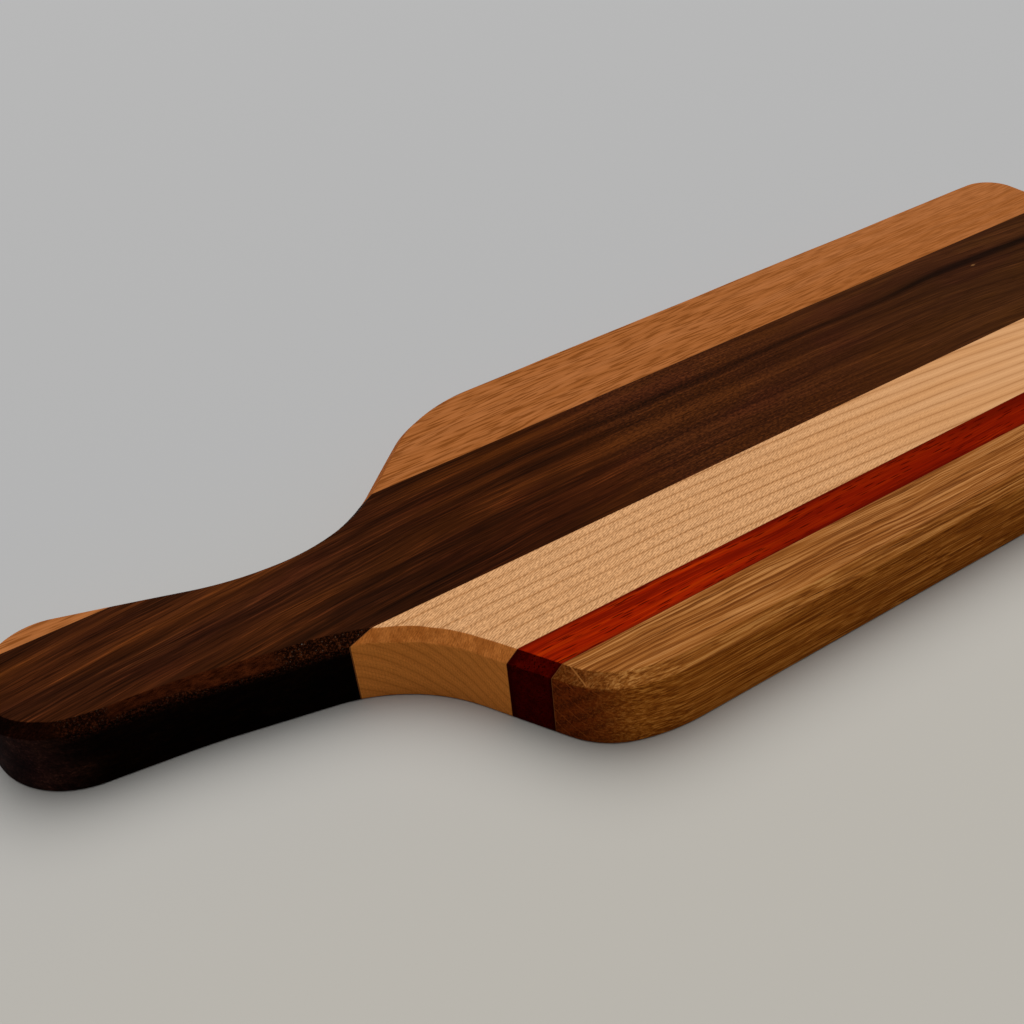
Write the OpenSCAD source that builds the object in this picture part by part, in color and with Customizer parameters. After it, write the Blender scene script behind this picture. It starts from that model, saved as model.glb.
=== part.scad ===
// Paddle serving board: five hardwood strips glued edge to edge, sawn to a
// paddle outline with a leaning handle, and chamfered round the top edge.
// X runs from the handle to the far end, Y across the strips, Z up.
// The origin is on the resting face, in the middle of the overall length and width.
// Left and right are as seen by someone who holds the handle.

/* [Board] */
// Overall length, from the tip of the handle to the far end
board_l = 406; // [385:1:430]
// Width across the straight sides of the body
board_w = 140; // [130:1:150]
// Thickness of the strips
board_t = 22; // [16:0.5:30]
// Width and depth of the chamfer round the top edge
chamfer = 3; // [1:0.25:5]
// Softened edge round the resting face
ease = 0.6; // [0.2:0.1:1.4]
// Radius of the two corners at the far end
end_corner_r = 14; // [8:1:30]

/* [Strips] */
// Share of the board's width taken by the beech strip, at the left side
beech_share = 0.233; // [0.22:0.001:0.25]
// Share taken by the walnut strip, which runs on as the handle
walnut_share = 0.358; // [0.34:0.001:0.37]
// Share taken by the maple strip
maple_share = 0.206; // [0.18:0.001:0.22]
// Share taken by the padauk strip; the oak strip takes the rest
padauk_share = 0.078; // [0.06:0.001:0.1]
// Thickness of each glue film
glue_t = 0.12; // [0.06:0.02:0.3]

/* [Left side of the outline] */
// Along the board, from the right corner of the tip to the left corner
tip_slant_l = 9.2; // [7:0.1:11]
// Left corner of the tip, out from the middle line, as a share of half the width
left_tip_share = 0.761; // [0.74:0.001:0.78]
// Radius that rounds it
left_tip_r = 20; // [12:1:24]
// Along the board, from there to the waist of the handle
left_waist_l = 65.5; // [62:0.1:69]
// Left side of the waist, out from the middle line, as a share of half the width
left_waist_share = 0.424; // [0.41:0.001:0.44]
// Radius that rounds it
left_waist_r = 80; // [40:1:120]
// Along the board, from there to the hollow of the neck
left_neck_l = 33; // [31:0.1:35]
// Hollow of the neck, out from the middle line, as a share of half the width
left_neck_share = 0.386; // [0.37:0.001:0.4]
// Radius that rounds it
left_neck_r = 47; // [36:1:52]
// Along the board, from there to the bend under the shoulder
left_bend_l = 36; // [35:0.1:38]
// The bend, out from the middle line, as a share of half the width
left_bend_share = 0.867; // [0.85:0.001:0.88]
// Radius that rounds it
left_bend_r = 35; // [20:1:50]
// Along the board, from there to the shoulder, where the straight side starts
left_shoulder_l = 14.9; // [13:0.1:18]
// Radius that rounds it
left_shoulder_r = 49; // [30:1:60]

/* [Right side of the outline] */
// Right corner of the tip, to the left of the middle line, as a share of half the width
right_tip_share = 0.063; // [0.05:0.001:0.08]
// Radius that rounds it
right_tip_r = 25; // [15:1:28]
// Along the board, from there to the waist of the handle
right_waist_l = 53.2; // [48:0.1:58]
// Right side of the waist, out from the middle line, as a share of half the width
right_waist_share = 0.051; // [0.04:0.001:0.06]
// Radius that rounds it
right_waist_r = 180; // [60:1:250]
// Along the board, from there to the hollow of the neck
right_neck_l = 51.5; // [48:0.1:54]
// Hollow of the neck, out from the middle line, as a share of half the width
right_neck_share = 0.223; // [0.21:0.001:0.24]
// Radius that rounds it
right_neck_r = 48; // [30:1:55]
// Along the board, from there to the bend under the shoulder
right_bend_l = 26.6; // [25:0.1:28]
// The bend, out from the middle line, as a share of half the width
right_bend_share = 0.917; // [0.9:0.001:0.93]
// Radius that rounds it
right_bend_r = 24.4; // [15:0.1:35]
// Along the board, from there to the shoulder, where the straight side starts
right_shoulder_l = 17.5; // [15:0.1:21]
// Radius that rounds it
right_shoulder_r = 54; // [30:1:60]

/* [Hidden] */
$fn = 96;
// How far a cutting shape runs past what it cuts
overrun = 1;
// Shortest straight left between two rounded corners
least_straight = 0.3;
// How much wider each arc is cut than its tangent circle, so that it crosses the
// straights beside it and leaves no gap
hair = 0.006;

// Corners of the outline before rounding, anticlockwise from above, from the left
// shoulder to the right one. Each is its distance along the board from the right
// corner of the tip, its distance to the left of the middle line, and its radius.
half_w = board_w / 2;
left_waist_x = tip_slant_l + left_waist_l;
left_neck_x = left_waist_x + left_neck_l;
left_bend_x = left_neck_x + left_bend_l;
right_neck_x = right_waist_l + right_neck_l;
right_bend_x = right_neck_x + right_bend_l;
handle_corners = [
    [left_bend_x + left_shoulder_l, half_w, left_shoulder_r],
    [left_bend_x, left_bend_share * half_w, left_bend_r],
    [left_neck_x, left_neck_share * half_w, left_neck_r],
    [left_waist_x, left_waist_share * half_w, left_waist_r],
    [tip_slant_l, left_tip_share * half_w, left_tip_r],
    [0, right_tip_share * half_w, right_tip_r],
    [right_waist_l, -right_waist_share * half_w, right_waist_r],
    [right_neck_x, -right_neck_share * half_w, right_neck_r],
    [right_bend_x, -right_bend_share * half_w, right_bend_r],
    [right_bend_x + right_shoulder_l, -half_w, right_shoulder_r]
];
// Outermost point of the rounded tip, from the right corner of the tip
tip_arcs = [for (k = [4, 5]) rounded(handle_corners, k)];
tip_x = min([for (a = tip_arcs) centre(a).x - radius(a)]);
corners = concat(
    [for (c = handle_corners) [c.x - tip_x - board_l / 2, c.y, c.z]],
    [[board_l / 2, -half_w, end_corner_r], [board_l / 2, half_w, end_corner_r]]
);
arcs = [for (k = [0 : len(corners) - 1]) rounded(corners, k)];

// Places of the joints between the strips, to the left of the middle line
joint_beech = half_w - beech_share * board_w;
joint_maple = joint_beech - walnut_share * board_w;
joint_padauk = joint_maple - maple_share * board_w;
joint_oak = joint_padauk - padauk_share * board_w;
// The hollow of the neck, where no beech is left
neck_x = corners[2].x;

beech_colour = "#b9794a";
walnut_colour = "#4a2a1a";
maple_colour = "#e0b483";
padauk_colour = "#9c2a0e";
oak_colour = "#a87842";
glue_colour = "#a98a5c";

function flat(c) = [c.x, c.y];
function heading(v) = atan2(v.y, v.x);
function unit(v) = v / norm(v);
function near(list, k) = list[(k + len(list)) % len(list)];

// Half of the angle between the two edges that meet at a corner
function half_angle(list, k) =
    let(here = flat(near(list, k)), back = flat(near(list, k - 1)), on = flat(near(list, k + 1)))
    acos(unit(back - here) * unit(on - here)) / 2;
// Distance from a corner to where its full radius would touch the edges
function reach(list, k) = near(list, k).z / tan(half_angle(list, k));
function edge_l(list, k) = norm(flat(near(list, k + 1)) - flat(near(list, k)));
// Share of the full radius that the edges beside a corner leave room for
function room_share(list, k) = min(
    1,
    (edge_l(list, k - 1) - least_straight) / (reach(list, k - 1) + reach(list, k)),
    (edge_l(list, k) - least_straight) / (reach(list, k) + reach(list, k + 1))
);
// The arc that rounds a corner: its centre, radius, starting angle, angle turned,
// first and last point, and whether it bulges outwards
function rounded(list, k) =
    let(
        here = flat(near(list, k)),
        back = unit(flat(near(list, k - 1)) - here),
        on = unit(flat(near(list, k + 1)) - here),
        half = half_angle(list, k),
        r = near(list, k).z * room_share(list, k),
        middle = here + unit(back + on) * r / sin(half),
        from = here + back * r / tan(half),
        to = here + on * r / tan(half),
        outward = back.y * on.x - back.x * on.y > 0
    )
    [middle, r, heading((outward ? from : to) - middle), 180 - 2 * half, from, to, outward];
function centre(arc) = arc[0];
function radius(arc) = arc[1];
function start_angle(arc) = arc[2];
function sweep(arc) = arc[3];
function first(arc) = arc[4];
function last(arc) = arc[5];
function bulges(arc) = arc[6];
// Length past its end over which a cut runs on, to beyond where the surfaces cross
function lap(arc) = 2 * sqrt(2 * radius(arc) * hair);

// A profile turned along an arc of the outline. Each of its points is a distance
// out from the outline and a height. In a hollow the cut runs on past both ends.
module along_arc(arc, profile) {
    out = bulges(arc) ? 1 : -1;
    spare = bulges(arc) ? 0 : lap(arc) / radius(arc) * 180 / PI;
    translate([centre(arc).x, centre(arc).y, 0])
        rotate([0, 0, start_angle(arc) - spare])
            rotate_extrude(angle = sweep(arc) + 2 * spare)
                polygon([for (p = profile) [radius(arc) + hair + out * p.x, p.y]]);
}

// The same profile along the straight from one arc to the next. The cut runs on
// over the start of an arc that bulges.
module along_straight(arc, next, profile) {
    way = first(next) - last(arc);
    before = bulges(arc) ? lap(arc) : 0;
    after = bulges(next) ? lap(next) : 0;
    translate([last(arc).x, last(arc).y, 0])
        rotate([90, 0, 90 + heading(way)])
            translate([0, 0, -before])
                linear_extrude(norm(way) + before + after)
                    polygon([for (p = profile) [-p.x, p.y]]);
}

module carried_round(profile) {
    for (k = [0 : len(arcs) - 1]) {
        along_arc(arcs[k], profile);
        along_straight(arcs[k], near(arcs, k + 1), profile);
    }
}

// What the saw takes off at one corner: outside the arc of a corner that bulges,
// and the whole pie slice inside the arc of a hollow
module sawn_off(k) {
    arc = arcs[k];
    away = bulges(arc)
        ? norm(flat(corners[k]) - centre(arc)) - radius(arc) + overrun
        : radius(arc) + hair;
    along_arc(arc, [
        [0, -overrun],
        [away, -overrun],
        [away, board_t + overrun],
        [0, board_t + overrun]
    ]);
}

// The glued blank, sawn to the outline
module sawn_blank() {
    difference() {
        linear_extrude(board_t)
            polygon([
                for (k = [0 : len(arcs) - 1])
                    each (bulges(arcs[k]) ? [flat(corners[k])] : [first(arcs[k]), last(arcs[k])])
            ]);
        for (k = [0 : len(arcs) - 1]) sawn_off(k);
    }
}

// The blank with its top edge chamfered
module chamfered_blank() {
    difference() {
        sawn_blank();
        carried_round([
            [-chamfer - overrun, board_t + overrun],
            [overrun, board_t - chamfer - overrun],
            [overrun, board_t + overrun]
        ]);
    }
}

// The finished board, with its lower edge eased as well
module board() {
    difference() {
        chamfered_blank();
        carried_round([
            [-ease - overrun, -overrun],
            [overrun, -overrun],
            [overrun, ease + overrun]
        ]);
    }
}

// What of the board lies between two lines along it, y0 and y1, from x0 to x1
module ripped(y0, y1, x0 = -board_l, x1 = board_l) {
    intersection() {
        board();
        translate([x0, y0, -overrun])
            cube([x1 - x0, y1 - y0, board_t + 2 * overrun]);
    }
}

// A strip between two joints, short of each by half of a glue film
module strip(y0, y1, x0 = -board_l, x1 = board_l) {
    ripped(y0 + glue_t / 2, y1 - glue_t / 2, x0, x1);
}

// The glue film at a joint
module film(y, x0 = -board_l, x1 = board_l) {
    ripped(y - glue_t / 2, y + glue_t / 2, x0, x1);
}

module beech_strip() {
    color(beech_colour) strip(joint_beech, board_w, x0 = neck_x);
}

module walnut_strip() {
    color(walnut_colour) strip(joint_maple, joint_beech);
}

module maple_strip() {
    color(maple_colour) strip(joint_padauk, joint_maple);
}

module padauk_strip() {
    color(padauk_colour) strip(joint_oak, joint_padauk);
}

module oak_strip() {
    color(oak_colour) strip(-board_w, joint_oak);
}

// The sliver of the beech strip that the neck leaves on the bulge of the handle
module handle_beech_tip() {
    color(beech_colour) strip(joint_beech, board_w, x1 = neck_x);
}

module glue_beech_walnut() {
    color(glue_colour) film(joint_beech, x0 = neck_x);
}

module glue_handle_tip() {
    color(glue_colour) film(joint_beech, x1 = neck_x);
}

module glue_walnut_maple() {
    color(glue_colour) film(joint_maple);
}

module glue_maple_padauk() {
    color(glue_colour) film(joint_padauk);
}

module glue_padauk_oak() {
    color(glue_colour) film(joint_oak);
}

beech_strip();
walnut_strip();
maple_strip();
padauk_strip();
oak_strip();
handle_beech_tip();
glue_beech_walnut();
glue_handle_tip();
glue_walnut_maple();
glue_maple_padauk();
glue_padauk_oak();
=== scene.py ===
"""Looks of a paddle serving board of five hardwood strips, glued edge to edge.

The strips, the sliver of beech on the handle and the glue films are surfaces worked out from the outline
of the board. Each wood has its own procedural grain, with painted shade on its chamfer and sides and some
painted light in slow tints along the board, and the stage is a plain pale floor, with a painted warm light
over its front, under one large soft lamp.
"""

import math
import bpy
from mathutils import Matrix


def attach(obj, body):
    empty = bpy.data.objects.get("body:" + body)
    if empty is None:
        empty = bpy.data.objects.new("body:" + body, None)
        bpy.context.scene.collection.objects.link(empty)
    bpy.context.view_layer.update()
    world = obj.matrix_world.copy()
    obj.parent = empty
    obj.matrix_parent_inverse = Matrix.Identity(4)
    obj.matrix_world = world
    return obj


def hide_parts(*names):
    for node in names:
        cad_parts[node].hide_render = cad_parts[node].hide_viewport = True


bl_info = {
    "name": "Paddle Serving Board",
    "version": (1, 0, 0),
    "blender": (4, 5, 0),
    "location": "View3D > Sidebar > Board",
    "description": "Builds the glued strips, the woods and the stage of a paddle serving board",
    "category": "Object",
}

import bpy
import numpy as np
from mathutils import Matrix, Vector

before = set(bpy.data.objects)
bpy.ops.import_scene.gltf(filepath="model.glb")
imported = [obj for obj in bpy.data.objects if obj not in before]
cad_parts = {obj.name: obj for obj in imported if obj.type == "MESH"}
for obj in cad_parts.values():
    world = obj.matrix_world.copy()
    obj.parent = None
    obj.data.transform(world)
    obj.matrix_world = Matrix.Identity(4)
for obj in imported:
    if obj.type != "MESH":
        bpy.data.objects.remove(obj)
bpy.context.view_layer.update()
MM = 0.001

# Corners of the handle before rounding, anticlockwise from above, from the left shoulder
# to the right one, in millimetres: along the board from the right corner of the tip, out to
# the left of the middle line, and the radius that rounds the corner.
HANDLE_CORNERS = (
    (158.6, 70.0, 49.0),
    (143.7, 60.69, 35.0),
    (107.7, 27.02, 47.0),
    (74.7, 29.68, 80.0),
    (9.2, 53.27, 20.0),
    (0.0, 4.41, 25.0),
    (53.2, -3.57, 180.0),
    (104.7, -15.61, 48.0),
    (131.3, -64.19, 24.4),
    (148.8, -70.0, 54.0),
)
# Places in that list of the two corners at the tip, and of the one that the neck bends round
TIP_CORNERS = slice(4, 6)
NECK_CORNER = 2


class BoardSizes(bpy.types.PropertyGroup):
    """Sizes of the board."""

    board_length: bpy.props.FloatProperty(
        name="Length", description="Overall length of the board", default=0.406, unit="LENGTH"
    )
    board_width: bpy.props.FloatProperty(
        name="Width", description="Width across the straight sides", default=0.14, unit="LENGTH"
    )
    board_thickness: bpy.props.FloatProperty(
        name="Thickness", description="Thickness of the strips", default=0.022, unit="LENGTH"
    )
    chamfer: bpy.props.FloatProperty(
        name="Chamfer", description="Width of the chamfer round the top", default=0.003, unit="LENGTH"
    )
    arris_round: bpy.props.FloatProperty(
        name="Arris round", description="Radius of the chamfer's two edges", default=0.0006, unit="LENGTH"
    )
    lower_round: bpy.props.FloatProperty(
        name="Lower round", description="Radius round the resting face", default=0.0006, unit="LENGTH"
    )
    end_corner_round: bpy.props.FloatProperty(
        name="End corner", description="Radius of the corners at the far end", default=0.014, unit="LENGTH"
    )
    glue_thickness: bpy.props.FloatProperty(
        name="Glue", description="Thickness of a glue film", default=0.00012, unit="LENGTH"
    )
    strip_shares: bpy.props.FloatVectorProperty(
        name="Strips",
        description="Shares of the width of the beech, walnut, maple and padauk strips",
        size=4,
        default=(0.233, 0.358, 0.206, 0.078),
    )


def colour_property(name, description, red, green, blue):
    """A colour that a user would change, from screen values of 0 to 255 by the sRGB curve."""
    values = np.array([red, green, blue]) / 255.0
    linear = np.where(values <= 0.04045, values / 12.92, ((values + 0.055) / 1.055) ** 2.4)
    return bpy.props.FloatVectorProperty(
        name=name, description=description, subtype="COLOR", size=3, min=0, max=1, default=tuple(linear)
    )


class BoardColours(bpy.types.PropertyGroup):
    """Colours of the woods, the glue and the floor."""

    beech: colour_property("Beech", "Plain colour of the oiled beech", 159, 91, 39)
    beech_light: colour_property("Beech light", "Pale grain of the beech", 175, 107, 58)
    beech_dark: colour_property("Beech flecks", "Ray flecks of the beech", 126, 68, 24)
    walnut: colour_property("Walnut", "Middle colour of the oiled walnut", 54, 24, 8)
    walnut_light: colour_property("Walnut light", "Light streaks of the walnut", 87, 44, 17)
    walnut_dark: colour_property("Walnut dark", "Dark streaks of the walnut", 28, 11, 4)
    walnut_rim: colour_property("Walnut chamfer", "Torn grain on the chamfer of the handle", 93, 45, 22)
    maple: colour_property("Maple", "Plain colour of the oiled maple", 220, 165, 114)
    maple_dark: colour_property("Maple lines", "Growth lines of the maple", 164, 106, 60)
    padauk: colour_property("Padauk", "Plain colour of the oiled padauk", 148, 27, 1)
    padauk_light: colour_property("Padauk light", "Light streaks of the padauk", 172, 48, 2)
    padauk_dark: colour_property("Padauk dark", "Dark streaks of the padauk", 86, 6, 1)
    oak: colour_property("Oak", "Middle colour of the oiled oak", 149, 88, 36)
    oak_light: colour_property("Oak light", "Light streaks of the oak", 188, 128, 72)
    oak_dark: colour_property("Oak dark", "Open grain of the oak", 102, 52, 17)
    glue: colour_property("Glue", "Dried glue in the joints", 138, 84, 44)
    floor: colour_property("Floor", "Floor and backdrop", 184, 184, 184)


class Outline:
    """The outline of the board as one closed curve of arcs and straights.

    Each corner is rounded by the arc that touches both of its edges, made smaller where an
    edge is too short for both of its arcs. The curve runs anticlockwise and is read by its
    length from the start of the first arc, in millimetres.
    """

    LEAST_STRAIGHT = 0.3
    NEWTON_STEPS = 12
    SCAN_POINTS = 4000

    def __init__(self, corners, radii):
        """Each corner's arc: its centre lies on the line that halves the corner's angle."""
        self.corners = corners
        back = np.roll(corners, 1, axis=0) - corners
        on = np.roll(corners, -1, axis=0) - corners
        edge = np.linalg.norm(on, axis=1)
        back /= np.linalg.norm(back, axis=1)[:, None]
        on /= edge[:, None]
        half = np.arccos(np.sum(back * on, axis=1)) / 2
        reach = radii / np.tan(half)
        room = np.minimum(1, (edge - self.LEAST_STRAIGHT) / (reach + np.roll(reach, -1)))
        radii = radii * np.minimum(room, np.roll(room, 1))
        middle = back + on
        middle /= np.linalg.norm(middle, axis=1)[:, None]
        self.centre = corners + middle * (radii / np.sin(half))[:, None]
        self.radius = radii
        self.first = corners + back * (radii / np.tan(half))[:, None]
        self.last = corners + on * (radii / np.tan(half))[:, None]
        self.bulge = np.sign(back[:, 1] * on[:, 0] - back[:, 0] * on[:, 1])
        spoke = self.first - self.centre
        self.start = np.arctan2(spoke[:, 1], spoke[:, 0])
        self.straight = np.roll(self.first, -1, axis=0) - self.last
        arc_length = radii * (math.pi - 2 * half)
        straight_length = np.linalg.norm(self.straight, axis=1)
        self.straight /= straight_length[:, None]
        lengths = np.stack([arc_length, straight_length], axis=1).ravel()
        self.ends = np.cumsum(lengths)
        self.starts = self.ends - lengths
        self.total = self.ends[-1]

    def read(self, s):
        """Point, outward normal and curvature at length s.

        On an arc the point is the centre plus the radius along a spoke, whose angle grows
        with the length over the radius, or shrinks where the arc is a hollow. On a straight
        it is the straight's start plus the length along it.
        """
        s = np.mod(s, self.total)
        part = np.minimum(np.searchsorted(self.ends, s, side="right"), len(self.ends) - 1)
        k = part // 2
        along = s - self.starts[part]
        bulge, radius = self.bulge[k], self.radius[k]
        angle = self.start[k] + bulge * along / radius
        spoke = np.stack([np.cos(angle), np.sin(angle)], axis=-1)
        on_arc = (part % 2 == 0)[..., None]
        way = self.straight[k]
        arc_point = self.centre[k] + radius[..., None] * spoke
        point = np.where(on_arc, arc_point, self.last[k] + along[..., None] * way)
        straight_normal = np.stack([way[..., 1], -way[..., 0]], axis=-1)
        normal = np.where(on_arc, bulge[..., None] * spoke, straight_normal)
        curvature = np.where(part % 2 == 0, bulge / radius, 0.0)
        return point, normal, curvature

    def stations(self, arc_step, straight_step):
        """Lengths at which the outline is sampled: even steps on each arc and straight."""
        steps = np.where(np.arange(len(self.ends)) % 2 == 0, arc_step, straight_step)
        counts = np.maximum(1, np.ceil((self.ends - self.starts) / steps)).astype(int)
        parts = zip(self.starts, self.ends, counts)
        return np.concatenate([np.linspace(a, b, n, endpoint=False) for a, b, n in parts])

    def crossing(self, s, offset, y):
        """Length at which the outline, moved out by offset, crosses the line y.

        Newton's steps from the length s: the error in y over the slope of the moved outline.
        """
        for _ in range(self.NEWTON_STEPS):
            point, normal, curvature = self.read(s)
            slope = normal[..., 0] * (1 + offset * curvature)
            s = s - (point[..., 1] + offset * normal[..., 1] - y) / slope
        return s

    def crossings(self, y):
        """Every length at which the outline itself crosses the line y, in order."""
        s = np.linspace(0, self.total, self.SCAN_POINTS, endpoint=False)
        above = self.read(s)[0][:, 1] > y
        turns = np.flatnonzero(above != np.roll(above, -1))
        between = s[turns] + self.total / (2 * self.SCAN_POINTS)
        return np.mod(self.crossing(between, 0.0, y), self.total)


def board_outline(sizes):
    """The outline of the board, in millimetres from the middle of its length and width."""
    length, width = sizes.board_length / MM, sizes.board_width / MM
    end_radius = sizes.end_corner_round / MM
    handle = np.array(HANDLE_CORNERS)
    end = np.array([[0, -width / 2, end_radius], [0, width / 2, end_radius]])
    tip = Outline(handle[:, :2], handle[:, 2])
    tip_x = np.min((tip.centre[:, 0] - tip.radius)[TIP_CORNERS])
    handle[:, 0] -= tip_x + length / 2
    end[:, 0] = length / 2
    corners = np.concatenate([handle, end])
    return Outline(corners[:, :2], corners[:, 2])


def smooth_noise(s, waves):
    """A sum of sines of the length s: each wave has its length, its height and its start."""
    length, height, start = np.array(waves).T
    return np.sum(height * np.sin(2 * math.pi * s[..., None] / length + start), axis=-1)


# Points on each round of the edge
ROUND_POINTS = 6


def edge_profile(sizes, chamfer):
    """Profile of the edge, from the resting face up to the serving face.

    Its points are a distance out from the outline and a height: a quarter round below, the
    straight side, and a 45 degree chamfer with a small round at each of its two edges.
    """
    low, arris, top = sizes.lower_round / MM, sizes.arris_round / MM, sizes.board_thickness / MM
    tangent = arris * math.tan(math.pi / 8)
    chamfer = chamfer[..., None]
    turn = np.linspace(-math.pi / 2, 0, ROUND_POINTS)
    out = [low * (np.cos(turn) - 1) + 0 * chamfer]
    height = [low * (np.sin(turn) + 1) + 0 * chamfer]
    turn = np.linspace(0, math.pi / 4, ROUND_POINTS)
    out.append(arris * (np.cos(turn) - 1) + 0 * chamfer)
    height.append(top - chamfer - tangent + arris * np.sin(turn))
    turn += math.pi / 4
    out.append(-chamfer - tangent + arris * np.cos(turn))
    height.append(top - arris + arris * np.sin(turn) + 0 * chamfer)
    return np.concatenate(out, axis=-1), np.concatenate(height, axis=-1)


# Waves of the hand-held cut of the chamfer: their length, height and start
CHAMFER_WAVES = ((83.0, 0.10, 0.4), (37.0, 0.04, 2.1))
ROUGH_WAVES = ((31.0, 0.16, 1.0), (13.0, 0.09, 3.3), (7.0, 0.04, 5.1))
# Where the rougher waves fade in on the right side of the handle, along and across the board:
# a place and the width that they take
ROUGH_ALONG = (-85, 20)
ROUGH_ACROSS = (12, 8)
# Steps of the samples along arcs and straights, and how near to a joint the last one may be
ARC_STEP = 1.2
STRAIGHT_STEP = 2.4
JOINT_MARGIN = 0.3


def skin(sizes, outline, start, end, low_y, high_y):
    """The edge profile carried along the outline from one joint to the next.

    Column u runs from the first joint to the last, row t up the profile. Each row starts and
    ends where the outline, moved out by that row's distance, crosses the joint's line, so
    that the ends of the patch are flat.
    """
    base = outline.stations(ARC_STEP, STRAIGHT_STEP)
    base = np.sort(np.concatenate([base, base + outline.total]))
    between = (base > start + JOINT_MARGIN) & (base < end - JOINT_MARGIN)
    base = np.concatenate([[start], base[between], [end]])
    share = ((base - start) / (end - start))[:, None]
    x, y = outline.read(base)[0].T
    rough = np.clip((ROUGH_ALONG[0] - x) / ROUGH_ALONG[1], 0, 1)
    rough = rough * np.clip((ROUGH_ACROSS[0] - y) / ROUGH_ACROSS[1], 0, 1)
    waver = smooth_noise(base, CHAMFER_WAVES) + rough * smooth_noise(base, ROUGH_WAVES)
    chamfer = sizes.chamfer / MM + waver
    out, height = edge_profile(sizes, chamfer)
    rows = out.shape[1]
    first = outline.crossing(np.full(rows, start), out[0], joint_at(outline, start, low_y, high_y))
    last = outline.crossing(np.full(rows, end), out[-1], joint_at(outline, end, low_y, high_y))
    s = first + share * (last - first)
    point, normal, _ = outline.read(s)
    flat = point + out[..., None] * normal
    return np.concatenate([flat, height[..., None]], axis=-1)


def joint_at(outline, s, low_y, high_y):
    """Which of the two joint lines the outline is on at length s."""
    y = outline.read(np.array(s))[0][1]
    return low_y if abs(y - low_y) < abs(y - high_y) else high_y


def strip_patches(outline, low_y, high_y):
    """The stretches of the outline between two joint lines, each as its first and last length.

    The lengths where the outline crosses either line cut it into stretches, and those whose
    middle lies between the lines are kept.
    """
    cuts = np.sort(np.concatenate([outline.crossings(low_y), outline.crossings(high_y)]))
    if len(cuts) == 0:
        raise RuntimeError("A strip has no joint with its neighbours")
    ends = np.roll(cuts, -1)
    ends[-1] += outline.total
    y = outline.read((cuts + ends) / 2)[0][:, 1]
    inside = (y > low_y) & (y < high_y)
    return list(zip(cuts[inside], ends[inside]))


def closed_strip(patches):
    """Vertices and faces of a strip, closed by its faces above and below and its joint faces.

    The patches follow each other anticlockwise. The face above joins all their top rows, the
    face below all their bottom rows, and a joint face lies between the last column of each
    patch and the first column of the next.
    """
    faces, top, bottom, columns = [], [], [], []
    base = 0
    for patch in patches:
        wide, tall = patch.shape[:2]
        index = base + np.arange(wide * tall).reshape(wide, tall)
        quads = np.stack([index[:-1, :-1], index[1:, :-1], index[1:, 1:], index[:-1, 1:]], axis=-1)
        faces += quads.reshape(-1, 4).tolist()
        top.append(index[:, -1])
        bottom.append(index[:, 0])
        columns.append((index[0], index[-1]))
        base += wide * tall
    faces.append(np.concatenate(top).tolist())
    faces.append(np.concatenate(bottom)[::-1].tolist())
    for k, (_, last) in enumerate(columns):
        following = columns[(k + 1) % len(columns)][0]
        faces.append(np.concatenate([last[:1], following, last[:0:-1]]).tolist())
    return np.concatenate([patch.reshape(-1, 3) for patch in patches]), faces


# Where a piece's shading breaks, and how much more its larger faces count in its normals
SHARP_ANGLE = math.radians(30)
FLAT_FACE_WEIGHT = 90


def add_piece(name, points, faces, material, node):
    """Puts a closed surface into the scene in place of the CAD node that it stands for."""
    mesh = bpy.data.meshes.new(name)
    mesh.from_pydata((points * MM).tolist(), [], faces)
    mesh.shade_smooth()
    mesh.set_sharp_from_angle(angle=SHARP_ANGLE)
    mesh.validate()
    piece = bpy.data.objects.new(name, mesh)
    bpy.context.scene.collection.objects.link(piece)
    weighted = piece.modifiers.new("Flat faces stay flat", "WEIGHTED_NORMAL")
    weighted.keep_sharp = True
    weighted.weight = FLAT_FACE_WEIGHT
    mesh.materials.append(material)
    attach(piece, "root")
    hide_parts(node)


def joint_lines(sizes):
    """Lines of the four joints, from the beech side to the oak side, in millimetres."""
    width = sizes.board_width / MM
    return width / 2 - np.cumsum(np.array(sizes.strip_shares)) * width


def strip_surface(sizes, low_y, high_y, beyond=None):
    """Vertices and faces of a strip between two joint lines, patch by patch along the outline.

    beyond picks the patches on one side of the neck where the neck parts them: -1 the
    handle's side, 1 the body's side.
    """
    outline = board_outline(sizes)
    stretches = strip_patches(outline, low_y, high_y)
    if beyond is not None:
        neck = outline.corners[NECK_CORNER][0]
        middle = [outline.read(np.array((a + b) / 2))[0][0] for a, b in stretches]
        stretches = [span for span, x in zip(stretches, middle) if (x - neck) * beyond > 0]
    return closed_strip([skin(sizes, outline, a, b, low_y, high_y) for a, b in stretches])


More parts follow.
